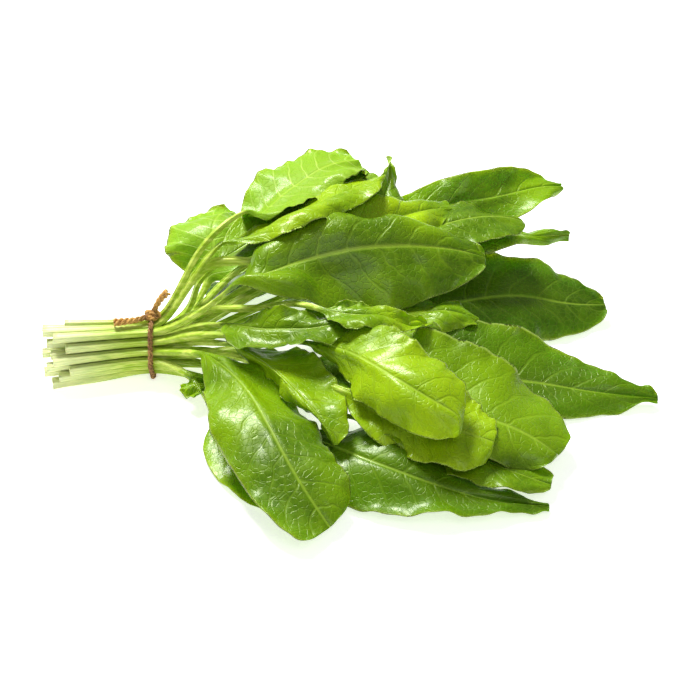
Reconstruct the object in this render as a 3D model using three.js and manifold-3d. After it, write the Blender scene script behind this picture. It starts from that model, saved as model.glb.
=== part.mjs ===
// Sorrel bunch: long-stalked leaves tied with a jute cord, lying on their side.
// Millimetres, +Z up. +X runs from the cut ends of the stalks to the leaf tips.
import * as THREE from "three";
import { mergeVertices } from "three/addons/utils/BufferGeometryUtils.js";
import Module from "manifold-3d";

const wasm = await Module();
wasm.setup();

// Driving dimensions.
const STALK_RADIUS = 2.1; // under the cord
const STALK_END_RADIUS = 2.7; // at the cut end, where a stalk is widest
const STALK_TOP_RADIUS = 1.5; // where the blade starts
const STALK_GAP = 0.45; // air between neighbouring stalks under the cord
const RIB_RADIUS = 1.0; // midrib under the start of the blade
const RIB_TIP_RADIUS = 0.25;
const BLADE_THICKNESS = 0.7;
const CORD_RADIUS = 1.3;
const CORD_GAP = 0.5; // between the cord and the stalks
const LEAF_GAP = 0.6; // air left between a leaf and what it lies on

// The bundle under the cord: rows of stalks, packed as hexagons, from the table up.
const ROW_COUNTS = [4, 5, 6, 5, 4, 3];
const PITCH = 2 * STALK_RADIUS + STALK_GAP;
const ROW_RISE = PITCH * Math.sin(Math.PI / 3);
const LOWEST_STALK_Z = 2 * CORD_RADIUS + CORD_GAP + STALK_RADIUS + 0.1;
const TIE = new THREE.Vector3(-100, 34, LOWEST_STALK_Z + (ROW_RISE * (ROW_COUNTS.length - 1)) / 2);

// How the bundle opens on each side of the cord.
const END_DISTANCE = 50; // behind the cord, where these are reached:
const END_SPREAD = 1.4; // sideways spread of the cut ends
const END_SPREAD_Z = 1.2;
const END_SHIFT = new THREE.Vector3(0, -6, STALK_END_RADIUS + 0.15 - LOWEST_STALK_Z);
const FAN_DISTANCE = 13; // past the cord, where the sideways spread has doubled
const RISE_DISTANCE = 34; // the same for the height
const FAN_REACH = 19; // length of the evenly opening stretch
const STRAIGHT = 5; // half the stretch that runs straight through the cord

const UP = new THREE.Vector3(0, 0, 1);
const radians = THREE.MathUtils.degToRad;

// Half-widths of a blade from its base to its tip, as shares of its widest place.
const profile = (...shares) => new THREE.SplineCurve(shares.map((w, i) => new THREE.Vector2(i, w)));
const OBLONG = profile(0.16, 0.8, 0.96, 1, 0.97, 0.86, 0.6, 0.12);
const POINTED = profile(0.16, 0.86, 1, 0.96, 0.78, 0.52, 0.26, 0.06);
const SPOON = profile(0.12, 0.42, 0.68, 0.88, 1, 0.98, 0.78, 0.2);
const BLUNT = profile(0.14, 0.62, 0.86, 0.95, 1, 0.98, 0.84, 0.46);
const SQUARE = profile(0.14, 0.5, 0.76, 0.96, 1, 0.9, 0.84, 0.66);

// Every leaf, a row of the bundle at a time, each row from the near side to the far side.
// path: the run of the stalk and midrib past the cord. blade: where on the path the blade starts,
// as the path's point number. left, right: half-width, fold up at the midrib and further curl to
// the margin in degrees, each one value or several from base to tip. roll: tilt of the whole
// blade, right side up, in degrees. lobe: how far the basal lobes reach back. wave: margin ruffle.
const ROWS = [
  [
    {
      name: "low_front_leaf",
      end: 50,
      path: [
        [-60, 8, 7], [-24, -34, 11], [7, -62, 17], [27, -72, 15],
        [46, -78, 11], [68, -81, 6], [94, -80, 3],
      ],
      blade: 1.1,
      shape: POINTED,
      left: [24, [10, 14, 20], -10],
      right: [24, [-42, -42, -30, -10], 34],
      lobe: 9,
      wave: 1.5,
    },
    {
      name: "far_right_leaf",
      end: 44,
      path: [[-60, 24, 9], [-5, 12, 16], [44, 3, 18], [91, 5, 13], [119, 2, 9], [156, 3, 4]],
      blade: 1.5,
      shape: POINTED,
      left: [33, [24, 20, 10], 10],
      right: [28, [-20, -30, -10], -8],
      lobe: 12,
      wave: 2.2,
    },
    {
      name: "right_back_leaf",
      end: 52,
      path: [[-62, 36, 10], [-5, 44, 20], [54, 60, 24], [89, 74, 20], [116, 77, 13], [139, 84, 8]],
      blade: 1.4,
      shape: OBLONG,
      left: [30, [20, 22, 10], 8],
      right: [28, [-15, -20, -30], -10],
      lobe: 12,
      wave: 2,
    },
    {
      name: "low_back_leaf",
      end: 40,
      path: [[-70, 56, 8], [-30, 86, 8], [10, 110, 7], [50, 126, 5], [88, 134, 4]],
      blade: 0.9,
      shape: OBLONG,
      left: [24, [-8, -4], -8],
      right: [26, [14, 8], 6],
      lobe: 10,
      wave: 2,
    },
  ],
  [
    {
      name: "front_hidden_leaf",
      end: 46,
      path: [[-74, 8, 8], [-64, -22, 8], [-54, -46, 5], [-40, -68, 4], [-28, -84, 3]],
      blade: 1,
      shape: OBLONG,
      left: [20, 6, 4],
      right: [14, [-8, -6], -6],
      lobe: 6,
      wave: 1.5,
    },
    {
      name: "front_tip_leaf",
      end: 54,
      path: [
        [-62, 14, 13], [-20, -22, 15], [14, -42, 12], [38, -52, 11],
        [61, -60, 9], [79, -66, 8], [95, -70, 7],
      ],
      blade: 1.6,
      shape: SPOON,
      left: [20, [10, 26], 10],
      right: [17, [-10, -20], -6],
      lobe: 5,
      wave: 1.2,
    },
    {
      name: "right_leaf",
      end: 42,
      path: [
        [-64, 22, 18], [-24, -4, 24], [24, -24, 27],
        [59, -40, 23], [82, -48, 16], [100, -55, 7],
      ],
      blade: 1,
      shape: BLUNT,
      left: [40, [30, 26, 12], [0, -10, -22]],
      right: [26, [-20, -28, -20], -10],
      lobe: 8,
      wave: 1.2,
    },
    {
      name: "far_back_tip_leaf",
      end: 50,
      path: [
        [-66, 46, 20], [-20, 70, 28], [26, 88, 32], [64, 99, 33],
        [91, 107, 34], [110, 112, 34], [121, 116, 32],
      ],
      blade: 1.7,
      shape: POINTED,
      left: [17, [10, 20], 20],
      right: [22, [-30, -50, -60], -10],
      lobe: 6,
      wave: 1,
    },
    {
      name: "back_left_low_leaf",
      end: 44,
      path: [[-78, 60, 16], [-66, 88, 12], [-44, 112, 9], [-14, 132, 6]],
      blade: 0.7,
      shape: OBLONG,
      left: [20, [-12, -6], -10],
      right: [22, [10, 6], 0],
      lobe: 8,
      wave: 2,
    },
  ],
  [
    {
      name: "small_front_leaf",
      end: 40,
      path: [[-79, 8, 14], [-73, -2, 9]],
      blade: 0.1,
      shape: OBLONG,
      left: [7, [10, 0], 0],
      right: [8, [-20, -10], -10],
      lobe: 3,
      wave: 0.6,
    },
    {
      name: "under_bright_leaf",
      end: 52,
      path: [
        [-62, 16, 22], [-24, -14, 28], [2, -32, 30], [23, -44, 29],
        [42, -53, 25], [56, -58, 19], [68, -60, 14],
      ],
      blade: 1.9,
      shape: BLUNT,
      left: [24, [6, 10], 0],
      right: [20, [-20, -26, -14], -10],
      lobe: 10,
      wave: 0.8,
    },
    {
      name: "wavy_leaf",
      end: 46,
      path: [[-62, 34, 24], [-25, 34, 32], [2, 31, 36], [25, 30, 37], [45, 33, 35], [67, 33, 29]],
      blade: 1,
      shape: OBLONG,
      left: [18, [10, 6], 0],
      right: [17, [-16, -20], -10],
      lobe: 6,
      wave: 3.4,
    },
    {
      name: "far_top_leaf",
      end: 56,
      path: [
        [-66, 46, 26], [-20, 84, 34], [27, 122, 40], [49, 128, 43],
        [82, 136, 45], [108, 148, 45], [120, 152, 42],
      ],
      blade: 1.4,
      shape: SPOON,
      left: [16, [30, 40, 20], 20],
      right: [16, [-20, -34, -10], -20],
      lobe: 4,
      wave: 1,
    },
    {
      name: "dark_inner_leaf",
      end: 54,
      path: [[-60, 56, 30], [-25, 68, 44], [0, 84, 52], [24, 104, 51], [44, 120, 45]],
      blade: 0.9,
      shape: OBLONG,
      left: [18, [10, 6], 0],
      right: [18, [-10, -14], -10],
      lobe: 6,
      wave: 1,
    },
    {
      name: "left_back_leaf",
      end: 44,
      path: [[-74, 68, 31], [-71, 79, 43], [-72, 92, 51], [-68, 106, 51], [-60, 119, 42]],
      blade: 0.2,
      shape: POINTED,
      roll: 180,
      left: [26, [6, 8], 12],
      right: [26, [4, 4, 0], 10],
      lobe: 14,
      wave: 1.4,
    },
  ],
  [
    {
      name: "front_left_leaf",
      end: 48,
      path: [
        [-74, 10, 27], [-61, -8, 32], [-49, -28, 33], [-40, -48, 31],
        [-32, -66, 27], [-24, -81, 21], [-15, -93, 13], [-7, -101, 4],
      ],
      blade: 0.1,
      shape: SQUARE,
      left: [26, [-14, -20, -16, 0], [-14, -10, 0, 0]],
      right: [26, [-12, -18, -14, 0], [-16, -14, -6]],
      lobe: 3,
      wave: 2,
    },
    {
      name: "rolled_leaf",
      end: 50,
      path: [
        [-64, 15, 28], [-52, 1, 31], [-38, -15, 33],
        [-24, -33, 32], [-13, -49, 26], [-7, -59, 17],
      ],
      blade: 0.5,
      shape: OBLONG,
      left: [22, [0, -6], [0, 20]],
      right: [15, [-60, -66], -50],
      lobe: 4,
      wave: 0.8,
    },
    {
      name: "upper_right_leaf",
      end: 48,
      path: [[-64, 36, 36], [-25, 57, 46], [26, 76, 53], [52, 86, 58], [73, 93, 58], [95, 101, 50]],
      blade: 1.3,
      shape: BLUNT,
      left: [17, [0, -10], -20],
      right: [19, [-14, -20, -10], [-20, -10]],
      lobe: 5,
      wave: 1.2,
    },
    {
      name: "back_curled_tip_leaf",
      end: 46,
      path: [
        [-70, 54, 35], [-46, 70, 47], [-10, 84, 52], [10, 91, 58],
        [19, 102, 65], [21, 115, 71], [20, 126, 74],
      ],
      blade: 1.7,
      shape: POINTED,
      left: [15, [20, 30], 20],
      right: [18, [-10, -30], -10],
      lobe: 4,
      wave: 0.8,
    },
    {
      name: "round_back_leaf",
      end: 42,
      path: [[-78, 50, 44], [-56, 65, 54], [-36, 79, 60], [-12, 94, 68], [12, 114, 71]],
      blade: 0.6,
      shape: BLUNT,
      left: [21, [20, 20], 0],
      right: [20, [10, 6], -10],
      lobe: 6,
      wave: 0.8,
    },
  ],
  [
    {
      name: "bright_folded_leaf",
      end: 42,
      path: [
        [-60, 13, 34], [-13, -7, 43], [0, -20, 48],
        [14, -37, 50], [36, -55, 46], [57, -62, 37],
      ],
      blade: 0.8,
      shape: BLUNT,
      left: [24, [16, 14, 0], 0],
      right: [20, [-44, -46, -20], [-50, -40, -10]],
      lobe: 5,
      wave: 0.6,
    },
    {
      name: "curled_lip_leaf",
      end: 52,
      path: [[-64, 23, 34], [-52, 11, 41], [-42, 6, 44], [-28, 3, 46], [-12, 0, 45], [2, 1, 42]],
      blade: 0.3,
      shape: OBLONG,
      left: [11, [12, 18, 10], 20],
      right: [19, [-46, -50, -20], [96, 110, 30]],
      lobe: 4,
      wave: 0.6,
    },
    {
      name: "rolled_tip_leaf",
      end: 44,
      path: [[-62, 30, 38], [-36, 22, 44], [-10, 6, 46], [5, 2, 46], [24, 4, 45], [46, 11, 39]],
      blade: 1.9,
      shape: POINTED,
      left: [13, [40, 30], 30],
      right: [13, [-20, -30, 20], 10],
      lobe: 3,
      wave: 1,
    },
    {
      name: "top_right_leaf",
      end: 56,
      path: [[-66, 46, 44], [-25, 50, 57], [-5, 60, 61], [20, 75, 64], [42, 92, 62], [56, 101, 56]],
      blade: 0.6,
      shape: OBLONG,
      left: [19, [0, -10], -20],
      right: [20, [-12, -20], -10],
      lobe: 5,
      wave: 1,
    },
  ],
  [
    {
      name: "centre_top_leaf",
      end: 48,
      path: [
        [-60, 25, 50], [-44, 29, 54], [-25, 39, 58], [-5, 45, 62],
        [25, 53, 63], [51, 58, 59], [72, 62, 50],
      ],
      blade: 0.05,
      shape: OBLONG,
      left: [22, [-14, -16, -10], -10],
      right: [40, [-36, -46, -46, -24], [-12, -18, -12]],
      lobe: 12,
      wave: 1.6,
    },
    {
      name: "pale_folded_leaf",
      end: 54,
      path: [[-66, 52, 48], [-54, 56, 54], [-30, 67, 64], [-5, 82, 70], [19, 101, 70]],
      blade: 0.1,
      shape: OBLONG,
      left: [19, [-30, -40], -20],
      right: [20, [-20, -24], -10],
      lobe: 4,
      wave: 1,
    },
    {
      name: "turned_back_leaf",
      end: 44,
      path: [[-63, 58, 50], [-45, 77, 62], [-28, 95, 71], [-10, 110, 75], [6, 122, 73]],
      blade: 0.6,
      shape: BLUNT,
      roll: 180,
      left: [20, [4, 10], 0],
      right: [24, [0, 4], -10],
      lobe: 10,
      wave: 1,
    },
  ],
];

// Value at t, from 0 to 1, of one number or of a list of evenly spaced ones.
function along(values, t) {
  const list = [values].flat();
  const at = t * (list.length - 1);
  const i = Math.min(Math.floor(at), Math.max(list.length - 2, 0));
  const next = list[Math.min(i + 1, list.length - 1)];
  return THREE.MathUtils.lerp(list[i], next, at - i);
}

// Where a stalk crosses the cord's plane.
function slotPoint(row, place) {
  const y = TIE.y + (place - (ROW_COUNTS[row] - 1) / 2) * PITCH;
  return new THREE.Vector3(TIE.x, y, LOWEST_STALK_Z + row * ROW_RISE);
}

// The curve of a stalk and midrib, from the cut end through the cord to the leaf's tip.
function spineOf(leaf, row, place) {
  const slot = slotPoint(row, place);
  const behind = (distance) => {
    const share = (distance - STRAIGHT) / (END_DISTANCE - STRAIGHT);
    return new THREE.Vector3(
      TIE.x - distance,
      slot.y + share * (END_SHIFT.y + (slot.y - TIE.y) * (END_SPREAD - 1)),
      slot.z + share * (END_SHIFT.z + (slot.z - LOWEST_STALK_Z) * (END_SPREAD_Z - 1)),
    );
  };
  const fanned = (distance) =>
    new THREE.Vector3(
      TIE.x + distance,
      TIE.y + (slot.y - TIE.y) * (1 + (distance - STRAIGHT) / FAN_DISTANCE),
      slot.z * (1 + (distance - STRAIGHT) / RISE_DISTANCE),
    );
  const points = [
    behind(leaf.end),
    behind(leaf.end / 2),
    behind(STRAIGHT),
    slot.clone().setX(TIE.x + STRAIGHT),
    fanned(FAN_REACH / 2),
    fanned(FAN_REACH),
    ...leaf.path.map((p) => new THREE.Vector3(...p)),
  ];
  const curve = new THREE.CatmullRomCurve3(points, false, "centripetal");
  curve.arcLengthDivisions = 600;
  const pathStart = points.length - leaf.path.length;
  return { curve, bladeStart: (pathStart + leaf.blade) / (points.length - 1) };
}

// Share of the curve's length at its parameter t.
function lengthShare(curve, t) {
  const lengths = curve.getLengths();
  const at = t * (lengths.length - 1);
  const i = Math.min(Math.floor(at), lengths.length - 2);
  return THREE.MathUtils.lerp(lengths[i], lengths[i + 1], at - i) / lengths.at(-1);
}

// Sideways and upward reach of a half-blade strip that leaves the midrib at `fold` and turns
// evenly by `curl` more on its way to the margin.
function across(width, share, fold, curl) {
  const half = radians(curl * share) / 2;
  const chord = width * share * (Math.abs(half) < 1e-6 ? 1 : Math.sin(half) / half);
  const angle = radians(fold) + half;
  return [chord * Math.cos(angle), chord * Math.sin(angle)];
}

const BLADE_STEPS = [0, 0.05, 0.13, 0.23, 0.34, 0.45, 0.56, 0.67, 0.77, 0.86, 0.93, 0.98];
const TOP_SHARES = [-1, -0.62, -0.3, 0, 0.3, 0.62, 1];
const LAST_TOP = TOP_SHARES.length - 1;
const LOOP = 12; // vertices round a stalk or a blade
const GROOVE = 0.5; // depth of the channel on top of a stalk, as a share of its radius
const STALK_STEP = 18; // length of one step along a bare stalk
const RUFFLES = 3.5; // waves along a blade's margin

// Column of TOP_SHARES that vertex j of a loop belongs to: the top from left to right, and
// then the underside back.
const columnOf = (j) => (j <= LAST_TOP ? j : LOOP - j);

// A leaf as rows of loops of points: a round grooved stalk that opens into a thin blade.
function leafRows(leaf, row, place, phase) {
  const { curve, bladeStart } = spineOf(leaf, row, place);
  const length = curve.getLength();
  const tie = lengthShare(curve, 2.5 / (curve.points.length - 1)) * length;
  const base = lengthShare(curve, bladeStart) * length;
  const stalkRun = base - tie - STRAIGHT - 2;
  const stalkSteps = Math.max(1, Math.round(stalkRun / STALK_STEP));
  const stations = [0, tie * 0.45, tie - STRAIGHT - 2, tie + STRAIGHT + 2];
  for (let i = 1; i < stalkSteps; i++) stations.push(stations[3] + (stalkRun * i) / stalkSteps);
  const bladeRow = stations.length;
  stations.push(...BLADE_STEPS.map((t) => base + (length - base) * t));
  const rows = stations.map((s, i) => {
    const u = Math.min(s / length, 1);
    const t = Math.max(0, (s - base) / (length - base));
    const centre = curve.getPointAt(u);
    const forward = curve.getTangentAt(u);
    const right = new THREE.Vector3().crossVectors(forward, UP).normalize();
    const above = new THREE.Vector3().crossVectors(right, forward);
    const roll = radians(along(leaf.roll ?? 0, t));
    const side = right.clone().multiplyScalar(Math.cos(roll)).addScaledVector(above, Math.sin(roll));
    const lift = above.clone().multiplyScalar(Math.cos(roll)).addScaledVector(right, -Math.sin(roll));
    const inBlade = i >= bladeRow;
    const opening = inBlade ? THREE.MathUtils.smoothstep(t, 0, 0.08) : 0;
    const radius = inBlade
      ? THREE.MathUtils.lerp(STALK_TOP_RADIUS, RIB_TIP_RADIUS, t)
      : stalkRadius(s, tie, base);
    const rib = THREE.MathUtils.lerp(RIB_RADIUS, RIB_TIP_RADIUS, Math.sqrt(t));
    return Array.from({ length: LOOP }, (_, j) => {
      const turn = Math.PI * (1 - (2 * j) / LOOP);
      const groove = j === LAST_TOP / 2 ? 1 - GROOVE : 1;
      const round = [radius * Math.cos(turn), radius * Math.sin(turn) * groove];
      const flat = bladePoint(leaf, t, j, rib, phase);
      const point = centre
        .clone()
        .addScaledVector(side, THREE.MathUtils.lerp(round[0], flat[0], opening))
        .addScaledVector(lift, THREE.MathUtils.lerp(round[1], flat[1], opening));
      return point.addScaledVector(forward, -flat[2] * opening);
    });
  });
  return { rows, freeFrom: 4 };
}

// Radius of a bare stalk at length s: widest at the cut end, thinner past the cord.
function stalkRadius(s, tie, base) {
  const behind = Math.max(0, tie - STRAIGHT - s) / (END_DISTANCE - STRAIGHT);
  if (behind > 0) return THREE.MathUtils.lerp(STALK_RADIUS, STALK_END_RADIUS, Math.min(behind, 1));
  const past = THREE.MathUtils.clamp((s - tie - STRAIGHT) / (base - tie), 0, 1);
  return THREE.MathUtils.lerp(STALK_RADIUS, STALK_TOP_RADIUS, past);
}

// Vertex j of the blade's section at t: sideways, up, and how far the basal lobe reaches back.
function bladePoint(leaf, t, j, rib, phase) {
  const share = TOP_SHARES[columnOf(j)];
  const [width, folds, curls] = share < 0 ? leaf.left : leaf.right;
  const size = width * Math.max(leaf.shape.getPoint(t).y, 0.04);
  const reach = Math.abs(share);
  const [out, rise] = across(size, reach, along(folds, t), along(curls, t));
  const ruffle = leaf.wave * reach ** 3 * Math.sin(2 * Math.PI * RUFFLES * t + phase + (share < 0 ? 2 : 0));
  const under = j > LAST_TOP;
  const thick = BLADE_THICKNESS + (share === 0 ? rib : 0);
  const angle = radians(along(folds, t) + along(curls, t) * reach);
  const lean = share === 0 ? 0 : Math.sin(angle) * BLADE_THICKNESS;
  const drop = under ? (share === 0 ? thick : Math.cos(angle) * BLADE_THICKNESS) : 0;
  const sideways = Math.sign(share) * (out + (under ? lean : 0));
  const back = leaf.lobe * reach ** 2 * Math.max(0, 1 - t / 0.22) ** 2;
  return [sideways, rise + ruffle * Math.min(1, 6 * t) - drop, back];
}

// Height of the top of what has been laid so far, on a fine grid over the table.
const CELL = 1.2;
const FIELD = 420;
const CELLS = Math.round(FIELD / CELL);
const heights = new Float32Array(CELLS * CELLS);
const cellOf = (v) => Math.floor((v + FIELD / 2) / CELL);

// Top of the pile within a reach of a point.
function topAround(x, y, reach) {
  let top = 0;
  for (let dx = -reach; dx <= reach; dx += CELL) {
    for (let dy = -reach; dy <= reach; dy += CELL) top = Math.max(top, heightAt(x + dx, y + dy));
  }
  return top;
}

function heightAt(x, y) {
  const at = cellOf(y) * CELLS + cellOf(x);
  return Math.max(heights[at], heights[at - 1], heights[at + 1], heights[at - CELLS], heights[at + CELLS]);
}

// Calls visit for points spread over every face between the rows of a leaf, each with how many
// rows along it is and the loop's vertex before it.
const SAMPLE = 0.8;
// How much each corner of a quad weighs at u across and v along: two flat triangles, which
// meet from b to d on the underside and from a to c on top.
function flatShares(u, v, isUnder) {
  if (!isUnder) return u > v ? [1 - u, u - v, v, 0] : [1 - v, 0, u, v - u];
  return u + v < 1 ? [1 - u - v, u, 0, v] : [0, 1 - v, u + v - 1, 1 - u];
}

function overFaces(rows, visit) {
  for (let i = 0; i + 1 < rows.length; i++) {
    for (let j = 0; j < LOOP; j++) {
      const next = (j + 1) % LOOP;
      const [a, b, c, d] = [rows[i][j], rows[i][next], rows[i + 1][next], rows[i + 1][j]];
      const n = Math.ceil(Math.max(a.distanceTo(b), d.distanceTo(c)) / SAMPLE);
      const m = Math.ceil(Math.max(a.distanceTo(d), b.distanceTo(c)) / SAMPLE);
      for (let p = 0; p <= n; p++) {
        for (let q = 0; q <= m; q++) {
          const [u, v] = [p / n, q / m];
          const [wa, wb, wc, wd] = flatShares(u, v, j >= LAST_TOP);
          visit(
            a.x * wa + b.x * wb + c.x * wc + d.x * wd,
            a.y * wa + b.y * wb + c.y * wc + d.y * wd,
            a.z * wa + b.z * wb + c.z * wc + d.z * wd,
            i + v,
            j,
          );
        }
      }
    }
  }
}

// Lifts a leaf, more where it must and less around, until it lies clear of all below it.
const LIFT_SLOPE = 0.6;
const MOST_LIFT = 6; // in one pass
const FREE_SHARE = 0.4; // of the span that leads to the first row that can be lifted
const PASSES = 10;
function layOnPile(leaf) {
  const { rows, freeFrom } = leaf;
  const nodes = rows.flatMap((loop, i) => TOP_SHARES.map((_, column) => ({ i, column, at: loop[column] })));
  for (let pass = 0; pass < PASSES; pass++) {
    const need = nodes.map(() => 0);
    overFaces(rows, (x, y, z, rowAt, j) => {
      const short = Math.min(heightAt(x, y) + LEAF_GAP - z, MOST_LIFT);
      if (short <= 0 || rowAt < freeFrom - FREE_SHARE) return;
      for (const k of [Math.floor(rowAt), Math.ceil(rowAt)]) {
        for (const m of [j, (j + 1) % LOOP]) {
          const node = k * TOP_SHARES.length + columnOf(m);
          need[node] = Math.max(need[node], short);
        }
      }
    });
    const raised = nodes.filter((_, n) => need[n] > 0);
    if (!raised.length) break;
    const lifts = nodes.map(({ i, at }) => {
      if (i < freeFrom) return 0;
      const pulls = nodes.map((other, n) =>
        need[n] > 0 ? need[n] - LIFT_SLOPE * at.distanceTo(other.at) : 0,
      );
      return Math.max(0, ...pulls);
    });
    rows.forEach((loop, i) =>
      loop.forEach((point, j) => {
        point.z += lifts[i * TOP_SHARES.length + columnOf(j)];
      }),
    );
  }
  overFaces(rows, (x, y, z) => {
    const at = cellOf(y) * CELLS + cellOf(x);
    heights[at] = Math.max(heights[at], z);
  });
}

// Closes rows of loops into one body. A ring has no ends; anything else gets a fan on each.
// isLeaf: the underside's quads split along the same line as the top's above them.
function closedBody(rows, { isRing = false, isLeaf = false } = {}) {
  const loop = rows[0].length;
  const points = rows.flat();
  const index = [];
  const spans = isRing ? rows.length : rows.length - 1;
  for (let i = 0; i < spans; i++) {
    for (let j = 0; j < loop; j++) {
      const next = (j + 1) % loop;
      const nextRow = ((i + 1) % rows.length) * loop;
      const [a, b, c, d] = [i * loop + j, i * loop + next, nextRow + next, nextRow + j];
      if (isLeaf && j >= LAST_TOP) index.push(a, b, d, b, c, d);
      else index.push(a, b, c, a, c, d);
    }
  }
  if (!isRing) {
    const middle = (ring) => ring.reduce((sum, p) => sum.add(p), new THREE.Vector3()).divideScalar(loop);
    const last = (rows.length - 1) * loop;
    const ends = [points.length, points.length + 1];
    points.push(middle(rows[0]), middle(rows.at(-1)));
    for (let j = 0; j < loop; j++) {
      const next = (j + 1) % loop;
      index.push(ends[0], next, j, ends[1], last + j, last + next);
    }
  }
  const geometry = new THREE.BufferGeometry().setFromPoints(points);
  geometry.setIndex(index);
  return geometry;
}

// A round cord along a curve.
const CORD_SIDES = 8;
function cordBody(curve, steps, radius, isRing = false) {
  const { tangents, normals, binormals } = curve.computeFrenetFrames(steps, isRing);
  const rows = tangents.slice(0, isRing ? steps : steps + 1).map((_, i) => {
    const centre = curve.getPointAt(i / steps);
    const size = typeof radius === "function" ? radius(i / steps) : radius;
    return Array.from({ length: CORD_SIDES }, (_unused, j) => {
      const turn = (2 * Math.PI * j) / CORD_SIDES;
      return centre
        .clone()
        .addScaledVector(normals[i], size * Math.cos(turn))
        .addScaledVector(binormals[i], size * Math.sin(turn));
    });
  });
  return closedBody(rows, { isRing });
}

// manifold-3d solid of a closed geometry.
function solidOf(geometry) {
  const merged = mergeVertices(geometry, 1e-4);
  return new wasm.Manifold(
    new wasm.Mesh({
      numProp: 3,
      vertProperties: merged.attributes.position.array,
      triVerts: new Uint32Array(merged.index.array),
    }),
  );
}

// The cord hugs the bundle: at each angle it stands off the outermost stalk.
function cordRing() {
  const slots = ROW_COUNTS.flatMap((count, row) =>
    Array.from({ length: count }, (_, place) => slotPoint(row, place)),
  );
  const reach = STALK_RADIUS + CORD_GAP + CORD_RADIUS;
  const turns = 40;
  const points = Array.from({ length: turns }, (_, i) => {
    const angle = (2 * Math.PI * i) / turns;
    const out = new THREE.Vector3(0, Math.cos(angle), Math.sin(angle));
    const slot = slots.reduce((far, s) => (s.dot(out) > far.dot(out) ? s : far));
    return slot.clone().addScaledVector(out, reach);
  });
  return new THREE.CatmullRomCurve3(points, true, "centripetal");
}

const FRAY = 0.7; // how much thicker a frayed end gets
// The cord: a ring pulled tight, a knot on top and two frayed ends lying along the stalks.
function cord() {
  const ring = cordRing();
  const knot = new THREE.Vector3(TIE.x, TIE.y + 3, ring.points.reduce((z, p) => Math.max(z, p.z), 0) + 1.2);
  const at = (x, y, z) => knot.clone().add(new THREE.Vector3(x, y, z));
  const loops = [
    [
      at(-3, -2.5, -0.4), at(-1.2, 0.4, 1.5), at(1.8, 2.2, 1.3),
      at(3.4, 0.6, -0.2), at(1.4, -2.2, 0.2), at(-1.6, -2.6, 0.9),
    ],
    [at(2.8, -2.2, 0.2), at(0.6, -0.6, 2.3), at(-2.2, 1.6, 1.4), at(-2.8, 3.2, -0.4)],
  ];
  const swell = (t) => CORD_RADIUS * (1 + FRAY * t);
  const resting = (x, y) => {
    const over = knot.clone().add(new THREE.Vector3(x, y, 0));
    const radius = CORD_RADIUS * (1 + FRAY);
    return over.setZ(Math.max(topAround(over.x, over.y, radius + CELL) + radius + CORD_GAP, over.z - 1));
  };
  const ends = [
    [at(0, 0, 0.8), resting(4.5, 1.8), resting(9, 2.6)],
    [at(0, -0.4, 0.8), resting(-5, -2), resting(-9, -3.6), resting(-14, -5), resting(-19, -6.2)],
  ];
  const bodies = [
    solidOf(cordBody(ring, 40, CORD_RADIUS, true)),
    ...loops.map((points) => solidOf(cordBody(new THREE.CatmullRomCurve3(points), 14, CORD_RADIUS))),
    ...ends.map((points) => solidOf(cordBody(new THREE.CatmullRomCurve3(points), 12, swell))),
  ];
  const mesh = bodies.reduce((whole, body) => whole.add(body)).getMesh();
  const geometry = new THREE.BufferGeometry();
  geometry.setAttribute("position", new THREE.BufferAttribute(mesh.vertProperties, 3));
  geometry.setIndex(new THREE.BufferAttribute(mesh.triVerts, 1));
  return geometry;
}

// The lowest leaf rests on a pressed-flat patch of its underside.
const PRESS = 2.4; // points this near the table touch it
function pressFlat(leaf) {
  for (const loop of leaf.rows) {
    loop.forEach((point, j) => {
      if (point.z < PRESS) point.z = j > 0 && j < LAST_TOP ? Math.max(point.z, BLADE_THICKNESS) : 0;
    });
  }
}

const LEAF_GREEN = 0x6f9a1c;
const CORD_BROWN = 0x9a6a3a;
const bunch = new THREE.Group();
const leafFinish = () => new THREE.MeshStandardMaterial({ color: LEAF_GREEN, roughness: 0.45, metalness: 0 });
let order = 0;
ROWS.forEach((row, r) =>
  row.forEach((leaf, place) => {
    const built = leafRows(leaf, r, place, order * 1.7);
    layOnPile(built);
    if (order === 0) pressFlat(built);
    const mesh = new THREE.Mesh(closedBody(built.rows, { isLeaf: true }), leafFinish());
    mesh.name = leaf.name;
    bunch.add(mesh);
    order += 1;
  }),
);
const cordMesh = new THREE.Mesh(
  cord(),
  new THREE.MeshStandardMaterial({ color: CORD_BROWN, roughness: 0.9, metalness: 0 }),
);
cordMesh.name = "jute_cord";
bunch.add(cordMesh);

// The origin is on the table under the middle of the bunch.
const box = new THREE.Box3().setFromObject(bunch);
const middle = box.getCenter(new THREE.Vector3());
bunch.position.set(-middle.x, -middle.y, -box.min.z);

const part = new THREE.Group();
part.add(bunch);

export default part;
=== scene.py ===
import math

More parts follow.
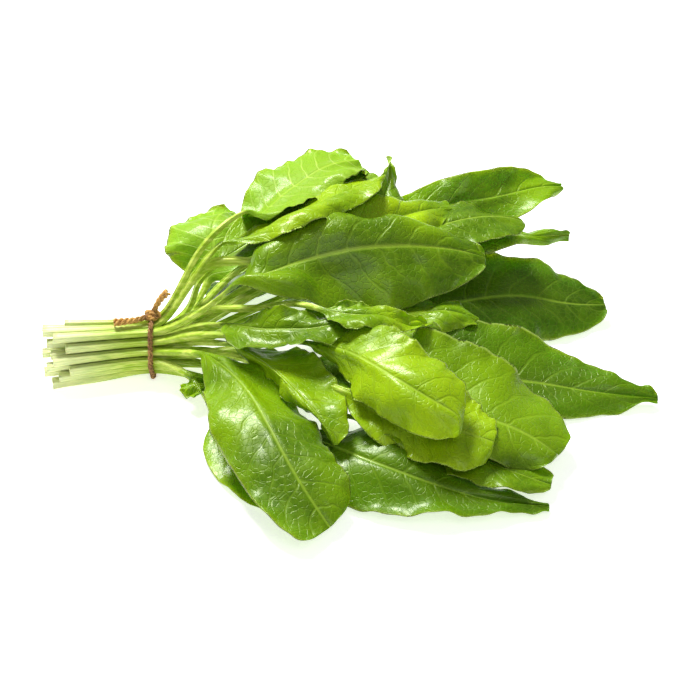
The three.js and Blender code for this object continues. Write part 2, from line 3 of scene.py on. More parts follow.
import bpy
import numpy as np
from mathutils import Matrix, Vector


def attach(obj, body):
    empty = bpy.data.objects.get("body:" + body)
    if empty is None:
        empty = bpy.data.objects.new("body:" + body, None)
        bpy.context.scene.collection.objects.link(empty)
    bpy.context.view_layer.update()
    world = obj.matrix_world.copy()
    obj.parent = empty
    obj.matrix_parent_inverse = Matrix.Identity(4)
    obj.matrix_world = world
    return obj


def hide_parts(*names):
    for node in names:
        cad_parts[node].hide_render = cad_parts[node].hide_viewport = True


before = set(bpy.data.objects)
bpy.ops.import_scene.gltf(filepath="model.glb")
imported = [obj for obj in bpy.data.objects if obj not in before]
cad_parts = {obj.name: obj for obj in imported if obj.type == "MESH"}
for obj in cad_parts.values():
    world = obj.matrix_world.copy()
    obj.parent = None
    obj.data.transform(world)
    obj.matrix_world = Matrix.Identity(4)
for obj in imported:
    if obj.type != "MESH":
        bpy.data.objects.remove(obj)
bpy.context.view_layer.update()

# Camera
# It stands in front of the bunch's near side and looks down at the middle of the fan of leaves.
bpy.ops.object.select_all(action="DESELECT")
CAMERA_AIM = Vector((0.0015, -0.02184, 0.035))
CAMERA_RISE = math.radians(34)
CAMERA_DISTANCE = 0.85
back_and_up = Vector((0, -math.cos(CAMERA_RISE), math.sin(CAMERA_RISE)))
camera_place = CAMERA_AIM + CAMERA_DISTANCE * back_and_up
bpy.ops.object.camera_add(location=camera_place, rotation=(math.pi / 2 - CAMERA_RISE, 0, 0))
camera = bpy.context.object
camera.data.lens = 90
camera.data.sensor_width = 36
camera.data.clip_start = 0.01
bpy.context.scene.camera = camera

# Light and floor
# A white studio table in even light, with a broad soft lamp above and behind the left end that
# makes the gloss on the leaves, and a weaker one in front.
bpy.context.scene.view_settings.view_transform = "Standard"
world = bpy.data.worlds.new("white_studio")
bpy.context.scene.world = world
world.use_nodes = True
world.node_tree.nodes["Background"].inputs["Color"].default_value = (1, 1, 1, 1)
world.node_tree.nodes["Background"].inputs["Strength"].default_value = 0.27
for lamp_name, place, power, size in [
    ("back_lamp", (-0.3, 0.45, 0.9), 19.0, 0.34),
    ("front_lamp", (0.25, -0.7, 0.9), 2.2, 0.5),
]:
    bpy.ops.object.light_add(type="AREA", location=place)
    lamp = bpy.context.object
    lamp.name = lamp_name
    lamp.data.energy = power
    lamp.data.size = size
    lamp.rotation_euler = (CAMERA_AIM - Vector(place)).to_track_quat("-Z", "Y").to_euler()
bpy.ops.object.select_all(action="DESELECT")
bpy.ops.mesh.primitive_plane_add(size=6, location=(0, 0, -0.0002))
floor = bpy.context.object
floor.name = "studio_floor"
floor_paint = bpy.data.materials.new("floor_paint")
floor_paint.use_nodes = True
floor_shader = floor_paint.node_tree.nodes["Principled BSDF"]
floor_shader.inputs["Base Color"].default_value = (0.9, 0.9, 0.9, 1)
floor_shader.inputs["Roughness"].default_value = 0.8
floor_shader.inputs["Emission Color"].default_value = (1, 1, 1, 1)
floor_shader.inputs["Emission Strength"].default_value = 0.62
floor.data.materials.append(floor_paint)

# Leaf finish
# Fresh sorrel: a satin green blade with a pale midrib, pale side veins that arch forward and a
# fine net between them, a paler matt underside, a thin pale margin and a juicy ribbed stalk
# that goes from yellow-green to nearly white at the cut.
SIDE_VEINS = 9.0
VEIN_SWEEP = 0.17
SWEEP_CURVE = 1.3
NET_SCALE = 330.0
SIDE_VEIN_SHOWS = 0.15
NET_SHOWS = 0.08
MIDRIB_SHOWS = 0.42
RIM_SHOWS = 0.5


def add_node(tree, kind, **settings):
    node = tree.nodes.new(kind)
    for key, value in settings.items():
        setattr(node, key, value)
    return node


def plug(tree, source, socket):
    if isinstance(source, (int, float, tuple)):
        socket.default_value = source
    else:
        tree.links.new(source, socket)


def sums(tree, operation, a, b=0.0, c=0.0):
    node = add_node(tree, "ShaderNodeMath", operation=operation)
    for value, socket in zip((a, b, c), node.inputs):
        plug(tree, value, socket)
    return node.outputs[0]


def ramped(tree, value, low, high, to_low=0.0, to_high=1.0):
    node = add_node(tree, "ShaderNodeMapRange", interpolation_type="SMOOTHSTEP")
    plug(tree, value, node.inputs["Value"])
    for name, number in zip(("From Min", "From Max", "To Min", "To Max"), (low, high, to_low, to_high)):
        node.inputs[name].default_value = number
    return node.outputs["Result"]


def blended(tree, factor, a, b, mode="MIX"):
    node = add_node(tree, "ShaderNodeMix", data_type="RGBA", blend_type=mode)
    plug(tree, factor, node.inputs["Factor"])
    plug(tree, a, node.inputs[6])
    plug(tree, b, node.inputs[7])
    return node.outputs[2]


def carried(tree, name):
    return add_node(tree, "ShaderNodeAttribute", attribute_name=name).outputs["Fac"]


def speckle(tree, where, scale, detail=3.0):
    node = add_node(tree, "ShaderNodeTexNoise")
    plug(tree, where, node.inputs["Vector"])
    node.inputs["Scale"].default_value = scale
    node.inputs["Detail"].default_value = detail
    return node.outputs["Fac"]


leaf_surface = bpy.data.node_groups.new("leaf_surface", "ShaderNodeTree")
for socket_name, direction, kind in [
    ("Deep", "INPUT", "NodeSocketColor"),
    ("Light", "INPUT", "NodeSocketColor"),
    ("Under", "INPUT", "NodeSocketColor"),
    ("Color", "OUTPUT", "NodeSocketColor"),
    ("Roughness", "OUTPUT", "NodeSocketFloat"),
    ("Height", "OUTPUT", "NodeSocketFloat"),
]:
    leaf_surface.interface.new_socket(name=socket_name, in_out=direction, socket_type=kind)
t = leaf_surface
given = add_node(t, "NodeGroupInput")
result = add_node(t, "NodeGroupOutput")
place = add_node(t, "ShaderNodeTexCoord").outputs["Object"]
along = carried(t, "along")
away = sums(t, "ABSOLUTE", carried(t, "across"))
broad = speckle(t, place, 22.0)
fine = speckle(t, place, 230.0, 4.0)
wobble = sums(t, "MULTIPLY", sums(t, "SUBTRACT", speckle(t, place, 45.0), 0.5), 0.9)
swept = sums(t, "SUBTRACT", along, sums(t, "MULTIPLY", sums(t, "POWER", away, SWEEP_CURVE), VEIN_SWEEP))
phase = sums(t, "ADD", sums(t, "MULTIPLY", swept, SIDE_VEINS), wobble)
in_cell = sums(t, "FRACT", sums(t, "ADD", phase, 50.5))
from_vein = sums(t, "ABSOLUTE", sums(t, "SUBTRACT", in_cell, 0.5))
thin_outward = ramped(t, away, 0.2, 1.0, 1.0, 0.35)
side_vein = sums(t, "MULTIPLY", ramped(t, from_vein, 0.015, 0.085, 1.0, 0.0), thin_outward)
midrib = ramped(t, away, 0.01, 0.055, 1.0, 0.0)
cells = add_node(t, "ShaderNodeTexVoronoi", feature="DISTANCE_TO_EDGE")
plug(t, place, cells.inputs["Vector"])
cells.inputs["Scale"].default_value = NET_SCALE
net = ramped(t, cells.outputs["Distance"], 0.0, 0.12, 1.0, 0.0)
is_under = ramped(t, carried(t, "under"), 0.02, 0.12)
is_stalk = ramped(t, along, -0.03, 0.02, 1.0, 0.0)
rim = ramped(t, away, 0.955, 0.995)
blade = blended(t, ramped(t, broad, 0.35, 0.65), given.outputs["Deep"], given.outputs["Light"])
blade = blended(t, ramped(t, fine, 0.3, 0.75, 0.0, 0.35), blade, given.outputs["Light"])
vein_colour = (0.3, 0.46, 0.03, 1)
faint_net = sums(t, "MULTIPLY", net, NET_SHOWS)
veins = sums(t, "MAXIMUM", sums(t, "MULTIPLY", side_vein, SIDE_VEIN_SHOWS), faint_net)
blade = blended(t, veins, blade, vein_colour)
under = blended(t, sums(t, "MULTIPLY", side_vein, 0.5), given.outputs["Under"], (0.5, 0.66, 0.14, 1))
under = blended(t, ramped(t, broad, 0.4, 0.7, 0.0, 0.35), under, given.outputs["Light"])
blade = blended(t, is_under, blade, under)
blade = blended(t, sums(t, "MULTIPLY", midrib, MIDRIB_SHOWS), blade, (0.36, 0.52, 0.05, 1))
blade = blended(t, sums(t, "MULTIPLY", rim, RIM_SHOWS), blade, (0.45, 0.6, 0.12, 1))
reach = add_node(t, "ShaderNodeSeparateXYZ")
plug(t, place, reach.inputs[0])
drawn = add_node(t, "ShaderNodeMapping")
plug(t, place, drawn.inputs["Vector"])
drawn.inputs["Scale"].default_value = (0.12, 1.0, 1.0)
streaks = speckle(t, drawn.outputs["Vector"], 420.0, 4.0)
stalk = blended(t, ramped(t, streaks, 0.35, 0.68), (0.3, 0.46, 0.02, 1), (0.56, 0.67, 0.12, 1))
whiter = ramped(t, reach.outputs["X"], -0.152, -0.105, 0.75, 0.0)
stalk = blended(t, whiter, stalk, (0.82, 0.84, 0.5, 1))
plug(t, blended(t, is_stalk, blade, stalk), result.inputs["Color"])
gloss = ramped(t, fine, 0.3, 0.7, 0.3, 0.44)
plug(t, sums(t, "ADD", gloss, sums(t, "MULTIPLY", is_under, 0.14)), result.inputs["Roughness"])
sunk = sums(t, "MAXIMUM", sums(t, "MULTIPLY", side_vein, 0.8), sums(t, "MULTIPLY", net, 0.32))
sunk = sums(t, "MULTIPLY", sums(t, "MAXIMUM", sunk, midrib), sums(t, "SUBTRACT", 1.0, is_stalk))
ribs = sums(t, "MULTIPLY", sums(t, "MULTIPLY", streaks, is_stalk), 0.9)
height = sums(t, "ADD", sums(t, "SUBTRACT", sums(t, "MULTIPLY", fine, 0.24), sunk), ribs)
plug(t, height, result.inputs["Height"])


def leaf_finish(name, deep, light, under):
    material = bpy.data.materials.new(name)
    material.use_nodes = True
    tree = material.node_tree
    shader = tree.nodes["Principled BSDF"]
    shader.inputs["Specular IOR Level"].default_value = 0.25
    shader.inputs["Subsurface Weight"].default_value = 0.12
    shader.inputs["Subsurface Radius"].default_value = (0.5, 1.0, 0.1)
    shader.inputs["Subsurface Scale"].default_value = 0.002
    shader.inputs["Specular Tint"].default_value = (0.9, 1.0, 0.5, 1)
    shader.inputs["Coat Weight"].default_value = 0.13
    shader.inputs["Coat Roughness"].default_value = 0.16
    surface = add_node(tree, "ShaderNodeGroup", node_tree=leaf_surface)
    for socket, colour in (("Deep", deep), ("Light", light), ("Under", under)):
        surface.inputs[socket].default_value = (*colour, 1)
    relief = add_node(tree, "ShaderNodeBump")
    relief.inputs["Strength"].default_value = 0.6
    relief.inputs["Distance"].default_value = 0.0006
    tree.links.new(surface.outputs["Height"], relief.inputs["Height"])
    tree.links.new(surface.outputs["Color"], shader.inputs["Base Color"])
    tree.links.new(surface.outputs["Roughness"], shader.inputs["Roughness"])
    tree.links.new(relief.outputs["Normal"], shader.inputs["Normal"])
    return material


# Leaves
# Each is one grown piece, stalk and blade together. Its CAD body is copied and welded, rounded by
# subdivision, and then puffed up between its veins, grooved over the midrib and ruffled along
# the margin. Leaves that lie pressed under others are made flatter.
LOOP = 12
LAST_TOP = 6
BLADE_ROWS = (0, 0.05, 0.13, 0.23, 0.34, 0.45, 0.56, 0.67, 0.77, 0.86, 0.93, 0.98)
ACROSS = (-1, -0.62, -0.3, 0, 0.3, 0.62, 1)
PUFF = 0.00048
RUFFLE = 0.0011
FLUTE = 0.0007
GROOVE = 0.0005
SWELL = 0.0024
THINNED = 0.00025
RUFFLE_WAVES = 5.3
FINE_RUFFLE_WAVES = 12.7
FINE_RUFFLE_SHARE = 0.4
FLUTE_WAVES = 3.1
SWELL_WAVES = 1.7
RIGHT_HALF_WAVES = 1.15
DENTS = ((0.034, 0.0018), (0.017, 0.0004))
BLADE_FADE = 0.1
MIDRIB_WIDTH = 0.07
STALK_UNITS = 10
STALK_RIBS = 7
RIB_HEIGHT = 0.00013
LOWEST = 0.0002
FIRST_SEED = 900
FLATTER = (
    "low_back_leaf",
    "back_left_low_leaf",
    "dark_inner_leaf",
    "front_hidden_leaf",
    "round_back_leaf",
)
FLATTER_SHARE = 0.3
column_of = [j if j <= LAST_TOP else LOOP - j for j in range(LOOP)]


def ring_walk(path, near, ring):
    """Extends path round the ring of neighbours until it has used them all and can close."""
    if len(path) == len(ring):
        return path if path[0] in near[path[-1]] else None
    for step in sorted((near[path[-1]] & ring) - set(path)):
        found = ring_walk(path + [step], near, ring)
        if found:
            return found
    return None


def loops_of(mesh):
    """The loops of vertices round a welded leaf, from the cut end to the tip, each from the left margin."""
    near = [set() for _ in mesh.vertices]
    for edge in mesh.edges:
        a, b = edge.vertices
        near[a].add(b)
        near[b].add(a)
    cut = min((i for i, n in enumerate(near) if len(n) == LOOP), key=lambda i: mesh.vertices[i].co.x)
    onward = {}
    for face in mesh.polygons:
        corners = list(face.vertices)
        if cut in corners:
            k = corners.index(cut)
            onward[corners[(k + 2) % 3]] = corners[(k + 1) % 3]
    centre = mesh.vertices[cut].co
    groove = min(onward, key=lambda i: (mesh.vertices[i].co - centre).length)
    ring = [groove]
    while len(ring) < LOOP:
        ring.append(onward[ring[-1]])
    ring = ring[-3:] + ring[:-3]
    loops, used = [ring], {cut, *ring}
    while True:
        ahead = set().union(*(near[i] for i in ring)) - used
        if len(ahead) != LOOP:
            return loops, cut, ahead.pop()
        walk = ring_walk([min(ahead)], near, ahead)
        ways = [order[k:] + order[:k] for order in (walk, walk[::-1]) for k in range(LOOP)]
        ring = max(ways, key=lambda way: sum(b in near[a] for a, b in zip(ring, way)))
        loops.append(ring)
        used.update(ring)


def set_shares(mesh, name, kind, values):
    field = "vector" if kind == "FLOAT_VECTOR" else "value"
    mesh.attributes.new(name, kind, "POINT").data.foreach_set(field, np.asarray(values, np.float32).ravel())


def get_shares(mesh, name, width=1):
    out = np.empty(len(mesh.vertices) * width, np.float32)
    mesh.attributes[name].data.foreach_get("vector" if width == 3 else "value", out)
    return out.reshape(-1, width) if width > 1 else out


def copied_body(name):
    """A welded copy of the leaf's CAD body, under its own name."""
    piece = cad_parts[name].copy()
    piece.data = piece.data.copy()
    piece.parent = None
    for key in list(piece.keys()):
        del piece[key]
    bpy.context.scene.collection.objects.link(piece)
    piece.name = name.replace("_leaf", "_sorrel")
    bpy.ops.object.select_all(action="DESELECT")
    bpy.context.view_layer.objects.active = piece
    piece.select_set(True)
    bpy.ops.object.mode_set(mode="EDIT")
    bpy.ops.mesh.select_all(action="SELECT")
    bpy.ops.mesh.remove_doubles(threshold=1e-6)
    bpy.ops.object.mode_set(mode="OBJECT")
    return piece


def quad_cage(piece):
    """Remakes the body in quads that follow the leaf, and gives its points their shares."""
    loops, cut, tip = loops_of(piece.data)
    co = np.array([v.co for v in piece.data.vertices])
    rows = co[np.array(loops)]
    count = len(rows)
    start = count - len(BLADE_ROWS)
    middle = rows.mean(1)
    run = np.linalg.norm(np.diff(middle, axis=0), axis=1)
    span = np.concatenate([[0], np.cumsum(run)])
    top = rows[:, : LAST_TOP + 1]
    sideways = np.gradient(top, axis=1)
    forward = np.gradient(top, axis=0)
    lift = np.cross(sideways, forward)
    lift /= np.linalg.norm(lift, axis=2, keepdims=True) + 1e-12
    verts = np.concatenate([rows.reshape(-1, 3), [co[cut], co[tip]]])
    faces = []
    for i in range(count - 1):
        for j in range(LOOP):
            k = (j + 1) % LOOP
            faces.append((i * LOOP + j, i * LOOP + k, (i + 1) * LOOP + k, (i + 1) * LOOP + j))
    last = (count - 1) * LOOP
    for j in range(LOOP):
        k = (j + 1) % LOOP
        faces.append((count * LOOP, k, j))
        faces.append((count * LOOP + 1, last + j, last + k))
    mesh = bpy.data.meshes.new(piece.name)
    mesh.from_pydata(verts.tolist(), [], faces)
    old = piece.data
    piece.data = mesh
    bpy.data.meshes.remove(old)
    t_rows = np.concatenate([-(span[start] - span[:start]) * STALK_UNITS, BLADE_ROWS])
    along_at = np.concatenate([np.repeat(t_rows, LOOP), [t_rows[0], 1]])
    across_at = np.concatenate([np.tile([ACROSS[c] for c in column_of], count), [0, 0]])
    is_underside = [1.0 if j > LAST_TOP else 0.0 for j in range(LOOP)]
    under_at = np.concatenate([np.tile(is_underside, count), [0, 0]])
    turn = 2 * np.pi * np.tile(np.arange(LOOP), count) / LOOP
    lift_at = np.concatenate([lift[:, column_of].reshape(-1, 3), [lift[0, 3], lift[-1, 3]]])
    set_shares(mesh, "along", "FLOAT", along_at)
    set_shares(mesh, "across", "FLOAT", across_at)
    set_shares(mesh, "under", "FLOAT", under_at)
    set_shares(mesh, "lift", "FLOAT_VECTOR", lift_at)
    round_at = np.stack([np.cos(turn), np.sin(turn), 0 * turn], 1)
    set_shares(mesh, "round", "FLOAT_VECTOR", np.concatenate([round_at, [[0, 0, 0], [0, 0, 0]]]))
    crease = mesh.attributes.new("crease_edge", "FLOAT", "EDGE")
    firm = np.zeros(len(mesh.edges), np.float32)
    for e, edge in enumerate(mesh.edges):
        a, b = edge.vertices
        if max(a, b) >= count * LOOP:
            continue
        same_column = a % LOOP == b % LOOP and a // LOOP >= start - 1 and b // LOOP >= start - 1
        if (same_column and a % LOOP in (0, LAST_TOP)) or (a < LOOP and b < LOOP):
            firm[e] = 1.0
    crease.data.foreach_set("value", firm)


def fleshed_out(mesh, name, chance):
    """Moves the rounded mesh's points: puffs, waves, dents, midrib groove and stalk ribs."""
    co = np.array([v.co for v in mesh.vertices])
    a, v, u = (get_shares(mesh, key) for key in ("along", "across", "under"))
    up = get_shares(mesh, "lift", 3)
    up /= np.linalg.norm(up, axis=1, keepdims=True) + 1e-9
    blade_share = np.clip(a / BLADE_FADE, 0, 1)
    away = np.abs(v)
    wave = SIDE_VEINS * (a - VEIN_SWEEP * away**SWEEP_CURVE)
    cell = np.floor(wave).astype(int) + 20 + 40 * (v > 0)
    puffs = chance.uniform(0.35, 1.2, 100)[cell % 100]
    between = np.abs(np.sin(np.pi * wave)) ** 0.6
    spread = np.clip(away / 0.25, 0, 1) * np.clip((1 - away) / 0.3, 0, 1) ** 0.5
    shift = PUFF * puffs * between * spread
    turns = chance.uniform(0, 2 * np.pi, 4)
    shift += SWELL * away * np.sin(2 * np.pi * SWELL_WAVES * a + turns[2] + 2.4 * v)
    wide = np.where(v > 0, 1.0, RIGHT_HALF_WAVES)
    shift += FLUTE * away**2 * np.sin(2 * np.pi * FLUTE_WAVES * a * wide + turns[3] + 1.5 * v)
    shift += RUFFLE * away**4 * np.sin(2 * np.pi * RUFFLE_WAVES * a * wide + turns[0])
    fine_waves = np.sin(2 * np.pi * FINE_RUFFLE_WAVES * a * wide + turns[1])
    shift += FINE_RUFFLE_SHARE * RUFFLE * away**5 * fine_waves
    for size, depth in DENTS:
        way = chance.normal(size=(3, 3))
        way /= np.linalg.norm(way, axis=1, keepdims=True)
        swells = np.sin(2 * np.pi * (co @ way.T) / size + chance.uniform(0, 6, 3))
        shift += depth * swells.mean(1) * np.clip(away / 0.3, 0, 1)
    if name in FLATTER:
        shift *= FLATTER_SHARE
    shift -= GROOVE * np.exp(-((away / MIDRIB_WIDTH) ** 2)) * (u < 0.5)
    shift += THINNED * np.clip(u, 0, 1) * np.clip(away / 0.3, 0, 1)
    co += up * (shift * blade_share)[:, None]
    around = get_shares(mesh, "round", 3)
    angle = np.arctan2(around[:, 1], around[:, 0])
    normals = np.array([n.vector for n in mesh.vertex_normals])
    bare = np.clip(-a / BLADE_FADE, 0, 1)
    co += normals * (bare * RIB_HEIGHT * np.cos(STALK_RIBS * angle))[:, None]
    co[:, 2] = np.maximum(co[:, 2], LOWEST)
    mesh.vertices.foreach_set("co", co.astype(np.float32).ravel())
    mesh.update()
    for spare in ("lift", "round"):
        mesh.attributes.remove(mesh.attributes[spare])


def make_leaf(name, number, deep, light, under):
    chance = np.random.default_rng(FIRST_SEED + number)
    piece = copied_body(name)
    quad_cage(piece)
    rounding = piece.modifiers.new("rounding", "SUBSURF")
    rounding.levels = rounding.render_levels = 3
    bpy.ops.object.modifier_apply(modifier="rounding")
    mesh = piece.data
    fleshed_out(mesh, name, chance)
    bpy.ops.object.shade_smooth()
    mesh.materials.clear()
    mesh.materials.append(leaf_finish(piece.name + "_green", deep, light, under))
    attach(piece, "root")
    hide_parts(name)


# The four levels of green below are lit and shaded copies of one leaf colour, each a darker and a lighter
# tone. Every leaf gets the level that paints how much light falls on it where it lies: painted shade for
# leaves low down, tucked in or under others, and painted light for leaves on top.
GREENS_IN_PAINTED_DEEP_SHADE = ((0.014, 0.04, 0.0002), (0.045, 0.105, 0.0004))
GREENS_IN_PAINTED_SHADE = ((0.03, 0.075, 0.0003), (0.09, 0.19, 0.0006))
GREENS_IN_PAINTED_HALF_LIGHT = ((0.06, 0.135, 0.0003), (0.175, 0.315, 0.0008))
GREENS_IN_PAINTED_FULL_LIGHT = ((0.11, 0.23, 0.0005), (0.29, 0.46, 0.002))
PALE_BACK = (0.36, 0.55, 0.07)
GREEN_BACK = (0.2, 0.37, 0.01)
leaves = [
    ("low_front_leaf", GREENS_IN_PAINTED_SHADE, GREEN_BACK),
    ("far_right_leaf", GREENS_IN_PAINTED_SHADE, GREEN_BACK),
    ("right_back_leaf", GREENS_IN_PAINTED_SHADE, GREEN_BACK),
    ("low_back_leaf", GREENS_IN_PAINTED_DEEP_SHADE, GREEN_BACK),
    ("front_hidden_leaf", GREENS_IN_PAINTED_FULL_LIGHT, GREEN_BACK),
    ("front_tip_leaf", GREENS_IN_PAINTED_HALF_LIGHT, GREEN_BACK),
    ("right_leaf", GREENS_IN_PAINTED_HALF_LIGHT, GREEN_BACK),
    ("far_back_tip_leaf", GREENS_IN_PAINTED_HALF_LIGHT, PALE_BACK),
    ("back_left_low_leaf", GREENS_IN_PAINTED_DEEP_SHADE, GREEN_BACK),
    ("small_front_leaf", GREENS_IN_PAINTED_FULL_LIGHT, GREEN_BACK),
    ("under_bright_leaf", GREENS_IN_PAINTED_FULL_LIGHT, GREEN_BACK),
    ("wavy_leaf", GREENS_IN_PAINTED_FULL_LIGHT, GREEN_BACK),
    ("far_top_leaf", GREENS_IN_PAINTED_HALF_LIGHT, PALE_BACK),
    ("dark_inner_leaf", GREENS_IN_PAINTED_DEEP_SHADE, GREEN_BACK),
    ("left_back_leaf", GREENS_IN_PAINTED_HALF_LIGHT, GREEN_BACK),
    ("front_left_leaf", GREENS_IN_PAINTED_HALF_LIGHT, GREEN_BACK),
    ("rolled_leaf", GREENS_IN_PAINTED_FULL_LIGHT, PALE_BACK),
    ("upper_right_leaf", GREENS_IN_PAINTED_HALF_LIGHT, GREEN_BACK),
    ("back_curled_tip_leaf", GREENS_IN_PAINTED_HALF_LIGHT, PALE_BACK),
    ("round_back_leaf", GREENS_IN_PAINTED_HALF_LIGHT, GREEN_BACK),
    ("bright_folded_leaf", GREENS_IN_PAINTED_FULL_LIGHT, PALE_BACK),
    ("curled_lip_leaf", GREENS_IN_PAINTED_HALF_LIGHT, PALE_BACK),
    ("rolled_tip_leaf", GREENS_IN_PAINTED_FULL_LIGHT, PALE_BACK),
    ("top_right_leaf", GREENS_IN_PAINTED_FULL_LIGHT, GREEN_BACK),
    ("centre_top_leaf", GREENS_IN_PAINTED_HALF_LIGHT, GREEN_BACK),
    ("pale_folded_leaf", GREENS_IN_PAINTED_FULL_LIGHT, PALE_BACK),
    ("turned_back_leaf", GREENS_IN_PAINTED_HALF_LIGHT, GREEN_BACK),
]
for number, (leaf_name, (deep, light), under_colour) in enumerate(leaves):
    make_leaf(leaf_name, number, deep, light, under_colour)

# Jute cord
# A length of three-strand brown jute twine, pulled tight round the stalks and knotted on top,
# with two frayed lighter ends that lie along the stalks and a fuzz of loose fibres.
STRAND_RADIUS = 0.00072
STRAND_OFFSET = 0.00066
TWIST_LENGTH = 0.0085
STRAND_SIDES = 8
LINE_STEPS = 24
RING_STEPS = 150
END_STEPS = 44
RING_POINTS = 40
CORD_REACH = 0.0028
cord_points = np.array([v.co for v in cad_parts["jute_cord"].data.vertices])


def smooth_line(points, closed, count):
    """Evenly spaced points on a smooth line through the given ones."""
    control = np.asarray(points, float)
    n = len(control)
    spans = n if closed else n - 1
    fine_line = []
    for s in range(spans):
        around = [s + k if closed else min(max(s + k, 0), n - 1) for k in (-1, 0, 1, 2)]
        p = [control[k % n] for k in around]
        for w in np.linspace(0, 1, LINE_STEPS, endpoint=False):
            fine_line.append(
                0.5 * (2 * p[1] + (p[2] - p[0]) * w + (2 * p[0] - 5 * p[1] + 4 * p[2] - p[3]) * w**2
                       + (3 * p[1] - p[0] - 3 * p[2] + p[3]) * w**3)
            )
    fine_line.append(control[0] if closed else control[-1])
    fine_line = np.array(fine_line)
    gone = np.concatenate([[0], np.cumsum(np.linalg.norm(np.diff(fine_line, axis=0), axis=1))])
    at = np.linspace(0, gone[-1], count + 1)
    line = np.stack([np.interp(at, gone, fine_line[:, k]) for k in range(3)], 1)
    return (line[:-1] if closed else line), gone[-1]


def strand_mesh(line, length, closed, lay, swell, verts, faces, shades, fray=0.0):
    """Adds one strand, wound round the line, to the lists."""
    n = len(line)
    ahead = np.roll(line, -1, 0) - np.roll(line, 1, 0)
    if not closed:
        ahead[0], ahead[-1] = line[1] - line[0], line[-1] - line[-2]
    ahead /= np.linalg.norm(ahead, axis=1, keepdims=True)
    side = np.cross(ahead, (0.0, 0.0, 1.0) if not closed else (1.0, 0.0, 0.0))
    side /= np.linalg.norm(side, axis=1, keepdims=True) + 1e-9
    over = np.cross(side, ahead)
    turns = round(length / TWIST_LENGTH) if closed else length / TWIST_LENGTH
    first = len(verts)
    for i in range(n):
        share = i / (n if closed else n - 1)
        wind = 2 * math.pi * (turns * share + lay / 3)
        grown = 1 + swell * share
        open_out = 1 + fray * share**2
        centre = line[i] + STRAND_OFFSET * grown * open_out * (
            math.cos(wind) * side[i] + math.sin(wind) * over[i])
        for j in range(STRAND_SIDES):
            roll = 2 * math.pi * j / STRAND_SIDES
            lump = 1 + 0.08 * math.sin(3 * roll + 11 * wind)
            verts.append(centre + STRAND_RADIUS * grown * lump * (
                math.cos(roll) * side[i] + math.sin(roll) * over[i]))
            shades.append(share if not closed else 0.0)
    for i in range(n if closed else n - 1):
        for j in range(STRAND_SIDES):
            k = (j + 1) % STRAND_SIDES
            m = (i + 1) % n
            faces.append((first + i * STRAND_SIDES + j, first + m * STRAND_SIDES + j,
                          first + m * STRAND_SIDES + k, first + i * STRAND_SIDES + k))
    if not closed:
        faces.append(tuple(first + j for j in range(STRAND_SIDES)))
        end = first + (n - 1) * STRAND_SIDES
        faces.append(tuple(end + j for j in reversed(range(STRAND_SIDES))))


TIE_X, TIE_Y = -0.0985, 0.01216
STALK_PITCH = 0.00465
FIRST_ROW_Z = 0.0053
STAND_OFF = 0.0039
slots = [
    np.array([TIE_X, TIE_Y + (k - (stalks - 1) / 2) * STALK_PITCH,
              FIRST_ROW_Z + row * STALK_PITCH * math.sin(math.pi / 3)])
    for row, stalks in enumerate((4, 5, 6, 5, 4, 3)) for k in range(stalks)
]
ring_points = []
for i in range(RING_POINTS):
    lean = 2 * math.pi * i / RING_POINTS
    out = np.array([0, math.cos(lean), math.sin(lean)])
    ring_points.append(max(slots, key=lambda s: s @ out) + STAND_OFF * out)
knot = np.array([TIE_X, TIE_Y + 0.003, max(p[2] for p in ring_points) + 0.0012])


def lying(x, y):
    """A point of the cord's CAD end that is x and y away from the knot."""
    spot = knot[:2] + (x, y)
    near = cord_points[np.linalg.norm(cord_points[:, :2] - spot, axis=1) < CORD_REACH]
    return np.array([*spot, (near[:, 2].min() + near[:, 2].max()) / 2])


def from_knot(*steps):
    return [knot + np.array(step) / 1000 for step in steps]


runs = [
    (ring_points, True, 0.0, 0.0),
    (from_knot((-3, -2.5, -0.4), (-1.2, 0.4, 1.5), (1.8, 2.2, 1.3), (3.4, 0.6, -0.2), (1.4, -2.2, 0.2),
               (-1.6, -2.6, 0.9)), False, 0.0, 0.0),
    (from_knot((2.8, -2.2, 0.2), (0.6, -0.6, 2.3), (-2.2, 1.6, 1.4), (-2.8, 3.2, -0.4)), False, 0.0, 0.0),
    (from_knot((0, 0, 0.8)) + [lying(0.0045, 0.0018), lying(0.0086, 0.0025)], False, 0.35, 0.5),
    (from_knot((0, -0.4, 0.8)) + [lying(-0.005, -0.002), lying(-0.009, -0.0036), lying(-0.014, -0.005),
                                   lying(-0.0185, -0.0062)], False, 0.35, 0.5),
]
verts, faces, shades = [], [], []
cord_length = 0.0
for points, closed, swell, fray in runs:
    line, length = smooth_line(points, closed, RING_STEPS if closed else END_STEPS)
    cord_length += length
    for lay in range(3):
        strand_mesh(line, length, closed, lay, swell, verts, faces, shades, fray)
FIBRES = 260
FIBRE_STEPS = 5
FIBRE_RADIUS = 0.00006
FIBRE_START = 0.0011
RUN_SHARES = [0.3, 0.05, 0.05, 0.3, 0.3]
fuzz = np.random.default_rng(77)
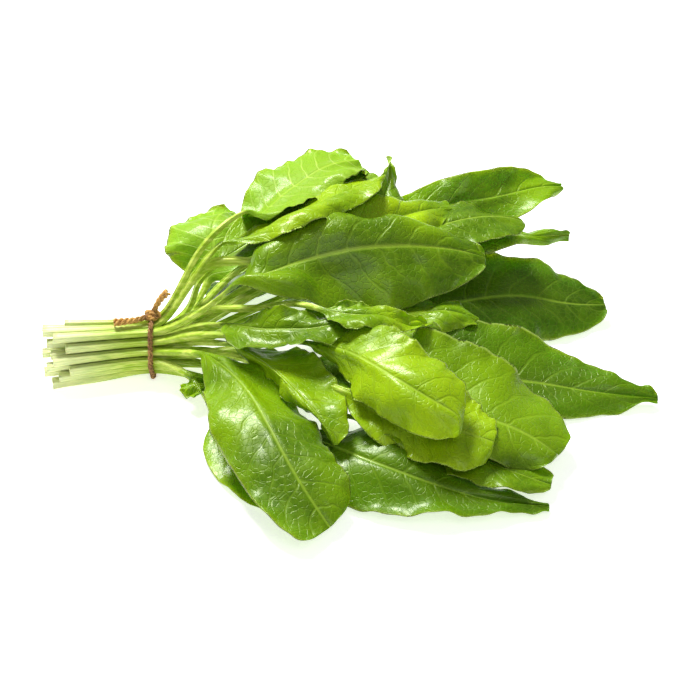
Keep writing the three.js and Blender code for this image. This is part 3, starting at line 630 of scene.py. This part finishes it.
for n in range(FIBRES):
    points, closed, swell, fray = runs[int(fuzz.choice(len(runs), p=RUN_SHARES))]
    line, length = smooth_line(points, closed, 40)
    if closed:
        i = int(fuzz.integers(2, len(line) - 2))
    else:
        i = int(len(line) * fuzz.uniform(0.2, 0.97))
    i = min(max(i, 1), len(line) - 2)
    ahead = line[i + 1] - line[i - 1]
    ahead /= np.linalg.norm(ahead)
    out = fuzz.normal(size=3)
    out -= ahead * (out @ ahead)
    out /= np.linalg.norm(out)
    root = line[i] + out * FIBRE_START
    reach_out = fuzz.uniform(0.001, 0.0028)
    leanway = ahead * fuzz.uniform(-0.003, 0.004)
    bits = [root, root + out * reach_out * 0.5 + leanway * 0.4, root + out * reach_out + leanway]
    bits = [np.array([b[0], b[1], max(b[2], 0.0006)]) for b in bits]
    hair, _ = smooth_line(bits, False, FIBRE_STEPS)
    across_hair = np.cross(ahead, out)
    first = len(verts)
    for k, h in enumerate(hair):
        thick = FIBRE_RADIUS * (1 - 0.7 * k / FIBRE_STEPS)
        for j in range(3):
            roll = 2 * math.pi * j / 3
            verts.append(h + thick * (math.cos(roll) * across_hair + math.sin(roll) * ahead))
            shades.append(0.8)
    for k in range(FIBRE_STEPS):
        low, high = first + k * 3, first + (k + 1) * 3
        for j in range(3):
            m = (j + 1) % 3
            faces.append((low + j, high + j, high + m, low + m))
    faces.append((first, first + 1, first + 2))
    faces.append((first + 17, first + 16, first + 15))
twine_mesh = bpy.data.meshes.new("jute_twine")
twine_mesh.from_pydata([tuple(p) for p in verts], [], faces)
twine = bpy.data.objects.new("jute_twine", twine_mesh)
bpy.context.scene.collection.objects.link(twine)
set_shares(twine_mesh, "ends", "FLOAT", shades)
bpy.ops.object.select_all(action="DESELECT")
bpy.context.view_layer.objects.active = twine
twine.select_set(True)
bpy.ops.object.mode_set(mode="EDIT")
bpy.ops.mesh.select_all(action="SELECT")
bpy.ops.mesh.normals_make_consistent(inside=False)
bpy.ops.object.mode_set(mode="OBJECT")
bpy.ops.object.shade_smooth()

jute = bpy.data.materials.new("brown_jute")
jute.use_nodes = True
t = jute.node_tree
shader = t.nodes["Principled BSDF"]
place = add_node(t, "ShaderNodeTexCoord").outputs["Object"]
drawn = add_node(t, "ShaderNodeMapping")
plug(t, place, drawn.inputs["Vector"])
drawn.inputs["Scale"].default_value = (0.5, 1.0, 1.0)
strands = speckle(t, drawn.outputs["Vector"], 1500.0, 5.0)
patches = speckle(t, place, 260.0, 2.0)
brown = blended(t, ramped(t, strands, 0.3, 0.7), (0.10, 0.045, 0.014, 1), (0.42, 0.22, 0.07, 1))
tan = blended(t, ramped(t, strands, 0.3, 0.7), (0.42, 0.2, 0.05, 1), (0.78, 0.48, 0.13, 1))
lighter = ramped(t, carried(t, "ends"), 0.1, 0.5)
mixed = sums(t, "MAXIMUM", lighter, ramped(t, patches, 0.55, 0.75, 0.0, 0.5))
plug(t, blended(t, mixed, brown, tan), shader.inputs["Base Color"])
shader.inputs["Roughness"].default_value = 0.9
relief = add_node(t, "ShaderNodeBump")
relief.inputs["Strength"].default_value = 0.9
relief.inputs["Distance"].default_value = 0.0003
plug(t, strands, relief.inputs["Height"])
plug(t, relief.outputs["Normal"], shader.inputs["Normal"])
twine_mesh.materials.append(jute)
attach(twine, "root")
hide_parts("jute_cord")
print("cord length", round(cord_length, 4))
